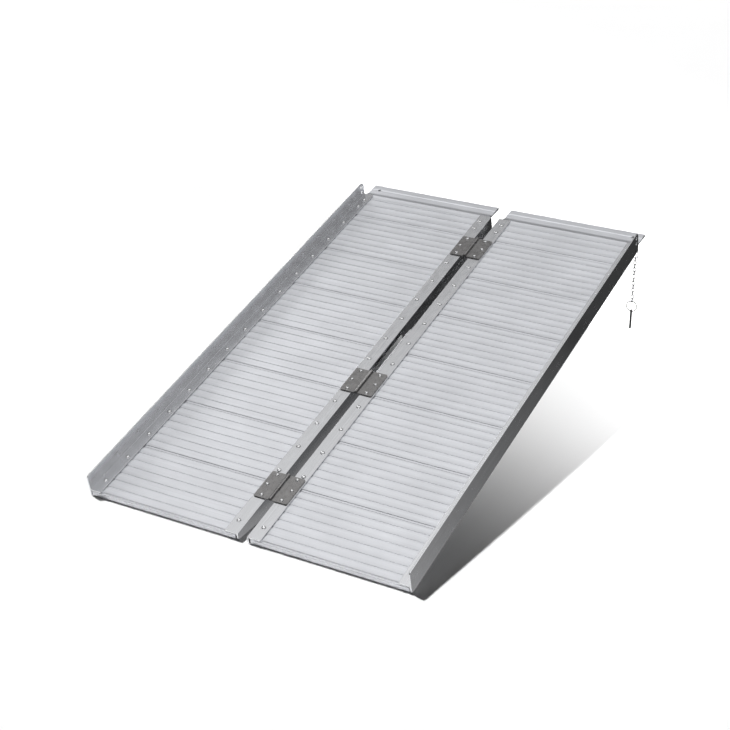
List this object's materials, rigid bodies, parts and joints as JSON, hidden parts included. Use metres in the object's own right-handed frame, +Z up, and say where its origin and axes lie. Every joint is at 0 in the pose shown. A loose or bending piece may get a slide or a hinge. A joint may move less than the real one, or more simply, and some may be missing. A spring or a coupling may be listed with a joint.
{
  "type": "portable wheelchair ramp",
  "caption": "Folding wheelchair ramp: ribbed aluminium deck panels with kerb rails, hinged along the middle, with landing lips, hand slots and a locking pin on a chain.",
  "frame": {"origin": "middle of the lips' underside, where the ramp rests on the landing, with the ramp in its working position", "axes": "+Y up the ramp towards the landing, measured level; +Z up; +X to the right when walking up. The deck slopes 12 degrees about X."},
  "size_m": [0.7231, 1.1961, 0.2876],
  "materials": {
    "deck_aluminium": "satin, brushed along the ribs",
    "rail_aluminium": "satin, as extruded",
    "hinge_steel": "plain steel, slightly dull",
    "plated_steel": "bright plated"
  },
  "bodies": {
    "right_half": {"right_deck_plank_1": "deck_aluminium", "right_deck_plank_2": "deck_aluminium", "right_deck_plank_3": "deck_aluminium", "right_deck_plank_4": "deck_aluminium", "right_deck_plank_5": "deck_aluminium", "right_deck_plank_6": "deck_aluminium", "right_deck_plank_7": "deck_aluminium", "right_lip_plank": "deck_aluminium", "right_kerb_wall": "rail_aluminium", "right_side_flange": "rail_aluminium", "right_side_seat": "rail_aluminium", "right_inner_web": "rail_aluminium", "right_inner_flange": "rail_aluminium", "right_inner_seat": "rail_aluminium", "right_hinge_leaf_lower": "hinge_steel", "right_hinge_leaf_middle": "hinge_steel", "right_hinge_leaf_upper": "hinge_steel", "hinge_pin_lower": "hinge_steel", "hinge_pin_middle": "hinge_steel", "hinge_pin_upper": "hinge_steel", "handle_grip": "rail_aluminium"},
    "left_half": {"left_deck_plank_1": "deck_aluminium", "left_deck_plank_2": "deck_aluminium", "left_deck_plank_3": "deck_aluminium", "left_deck_plank_4": "deck_aluminium", "left_deck_plank_5": "deck_aluminium", "left_deck_plank_6": "deck_aluminium", "left_deck_plank_7": "deck_aluminium", "left_lip_plank": "deck_aluminium", "left_kerb_wall": "rail_aluminium", "left_side_flange": "rail_aluminium", "left_side_seat": "rail_aluminium", "left_inner_web": "rail_aluminium", "left_inner_flange": "rail_aluminium", "left_inner_seat": "rail_aluminium", "left_hinge_leaf_lower": "hinge_steel", "left_hinge_leaf_middle": "hinge_steel", "left_hinge_leaf_upper": "hinge_steel"},
    "tether_link": {"tether_link": "plated_steel"},
    "pin_chain": {"chain_link_01": "plated_steel", "chain_link_02": "plated_steel", "chain_link_03": "plated_steel", "chain_link_04": "plated_steel", "chain_link_05": "plated_steel", "chain_link_06": "plated_steel", "chain_link_07": "plated_steel", "chain_link_08": "plated_steel", "chain_link_09": "plated_steel", "chain_link_10": "plated_steel", "chain_link_11": "plated_steel", "chain_link_12": "plated_steel", "chain_link_13": "plated_steel"},
    "pin_ring": {"pin_ring": "plated_steel"},
    "locking_pin": {"locking_pin": "plated_steel"}
  },
  "joints": [
    {"name": "fold_hinge", "type": "hinge", "parent": "right_half", "child": "left_half", "pos_m": [0, -1.02955, -0.20415], "axis": [0, 0.9781, 0.2079], "range_deg": [0, 170]},
    {"name": "tether_swing", "type": "hinge", "parent": "right_half", "child": "tether_link", "pos_m": [0.3541, -0.04264, -0.00766], "axis": [1, 0, 0], "range_deg": [-30, 30]},
    {"name": "chain_swing", "type": "hinge", "parent": "tether_link", "child": "pin_chain", "pos_m": [0.3541, -0.04264, -0.02586], "axis": [1, 0, 0], "range_deg": [-40, 40]},
    {"name": "ring_swing", "type": "hinge", "parent": "pin_chain", "child": "pin_ring", "pos_m": [0.3541, -0.04264, -0.13621], "axis": [0, 1, 0], "range_deg": [-45, 45]},
    {"name": "pin_swing", "type": "hinge", "parent": "pin_ring", "child": "locking_pin", "pos_m": [0.3541, -0.04264, -0.15896], "axis": [1, 0, 0], "range_deg": [-30, 30]}
  ]
}
